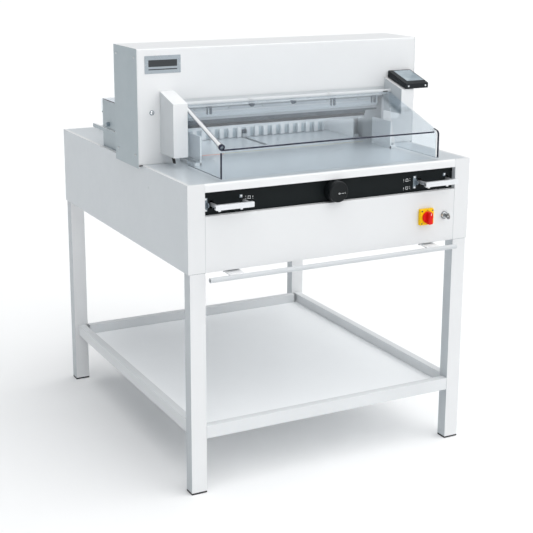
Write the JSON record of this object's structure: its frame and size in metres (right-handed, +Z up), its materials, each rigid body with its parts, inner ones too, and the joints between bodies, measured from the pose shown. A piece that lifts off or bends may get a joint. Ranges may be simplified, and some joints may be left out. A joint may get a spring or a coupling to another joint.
{
  "type": "electric paper guillotine",
  "caption": "Floor-standing electric paper guillotine: portal with knife and clamp, clear hinged guard, comb backgauge, paired hand levers and a knee bar, on a leg stand with a shelf.",
  "frame": {"origin": "on the floor under the middle of the machine's bounding box", "axes": "+X to the operator's right, +Y from the operator to the back of the machine, +Z up"},
  "size_m": [1.005, 1.175, 1.305],
  "materials": {
    "paint": "satin light grey powder coat",
    "side_paint": "satin cool grey powder coat",
    "black_paint": "satin black coat",
    "rubber": "moulded black rubber",
    "table_steel": "ground and polished steel",
    "bright_steel": "turned and milled bright steel",
    "blade_steel": "ground tool steel",
    "casting": "grey-painted casting",
    "aluminium": "brushed anodised aluminium",
    "chrome": "bright chrome plate",
    "acrylic": "clear polished acrylic sheet with tinted edges",
    "stick_plastic": "plain cream plastic",
    "yellow_plastic": "moulded yellow plastic",
    "red_plastic": "moulded red plastic",
    "black_plastic": "moulded black plastic",
    "motor_paint": "dark grey machine enamel"
  },
  "bodies": {
    "machine": {"leg_front_left": "paint", "leg_front_right": "paint", "leg_rear_left": "paint", "leg_rear_right": "paint", "foot_front_left": "rubber", "foot_front_right": "rubber", "foot_rear_left": "rubber", "foot_rear_right": "rubber", "shelf_rail_front": "paint", "shelf_rail_rear": "paint", "shelf_rail_left": "paint", "shelf_rail_right": "paint", "shelf_tray": "paint", "base_pan": "paint", "side_panel_left": "side_paint", "side_panel_right": "side_paint", "front_panel": "paint", "table_front_rail": "paint", "control_panel": "black_paint", "rear_panel": "paint", "cable_gland": "black_plastic", "table": "table_steel", "cutting_stick": "stick_plastic", "front_lay_left": "aluminium", "front_lay_right": "aluminium", "rear_lay_left": "aluminium", "rear_lay_right": "aluminium", "machine_frame": "casting", "hood": "paint", "gantry_side_left": "side_paint", "gantry_side_right": "side_paint", "guard_housing_left": "paint", "guard_housing_right": "paint", "gantry_rear_cover": "paint", "display": "black_plastic", "backgauge_motor": "motor_paint", "hydraulic_unit": "motor_paint", "blade_drive": "motor_paint", "electrics_box": "side_paint", "switch_plate": "yellow_plastic", "rear_guard_cheek_left": "paint", "rear_guard_cheek_right": "paint", "rear_guard_pane": "acrylic"},
    "front_guard": {"guard_pane": "acrylic", "guard_cheek_left": "acrylic", "guard_cheek_right": "acrylic", "guard_hinge_bar": "paint", "guard_stay_rod": "chrome"},
    "knife": {"blade": "blade_steel", "knife_carrier": "casting"},
    "clamp": {"clamp_beam": "bright_steel"},
    "backgauge_body": {"backgauge": "aluminium"},
    "spindle": {"backgauge_spindle": "bright_steel"},
    "left_lever": {"lever_left": "bright_steel"},
    "right_lever": {"lever_right": "bright_steel"},
    "knob": {"jog_knob": "black_plastic"},
    "main_switch": {"switch_handle": "red_plastic"},
    "key": {"key_switch": "chrome"},
    "knee": {"knee_bar": "paint"}
  },
  "joints": [
    {"name": "front_guard_hinge", "type": "hinge", "parent": "machine", "child": "front_guard", "pos_m": [0, -0.2455, 1.135], "axis": [-1, 0, 0], "range_deg": [0, 70]},
    {"name": "knife_slide", "type": "slide", "parent": "machine", "child": "knife", "axis": [-0.2501, 0, -0.9682], "range_m": [0, 0.091]},
    {"name": "clamp_slide", "type": "slide", "parent": "machine", "child": "clamp", "axis": [0, 0, -1], "range_m": [0, 0.08]},
    {"name": "backgauge_slide", "type": "slide", "parent": "machine", "child": "backgauge_body", "axis": [0, 1, 0], "range_m": [-0.16, 0.36]},
    {"name": "spindle_turn", "type": "hinge", "parent": "machine", "child": "spindle", "pos_m": [0.02, 0.2165, 0.905], "axis": [0, 1, 0], "continuous": true},
    {"name": "left_lever_tilt", "type": "hinge", "parent": "machine", "child": "left_lever", "pos_m": [-0.3565, -0.5265, 0.885], "axis": [1, 0, 0], "range_deg": [-10, 10], "stiffness_Nm_per_rad": 6},
    {"name": "right_lever_tilt", "type": "hinge", "parent": "machine", "child": "right_lever", "pos_m": [0.3635, -0.5265, 0.885], "axis": [1, 0, 0], "range_deg": [-10, 10], "stiffness_Nm_per_rad": 6},
    {"name": "jog_knob_turn", "type": "hinge", "parent": "machine", "child": "knob", "pos_m": [-0.004, -0.5525, 0.89], "axis": [0, 1, 0], "range_deg": [-40, 40], "stiffness_Nm_per_rad": 0.05},
    {"name": "main_switch_turn", "type": "hinge", "parent": "machine", "child": "main_switch", "pos_m": [0.326, -0.5525, 0.776], "axis": [0, 1, 0], "range_deg": [0, 90]},
    {"name": "key_turn", "type": "hinge", "parent": "machine", "child": "key", "pos_m": [0.399, -0.5525, 0.773], "axis": [0, 1, 0], "range_deg": [0, 90]},
    {"name": "knee_bar_tilt", "type": "hinge", "parent": "machine", "child": "knee", "pos_m": [0, -0.5305, 0.681], "axis": [1, 0, 0], "range_deg": [0, 10], "stiffness_Nm_per_rad": 3, "springref_deg": -20.05}
  ],
  "couplings": [
    {"joint": "spindle_turn", "follows": "backgauge_slide", "rad_per_m": -628.32}
  ]
}
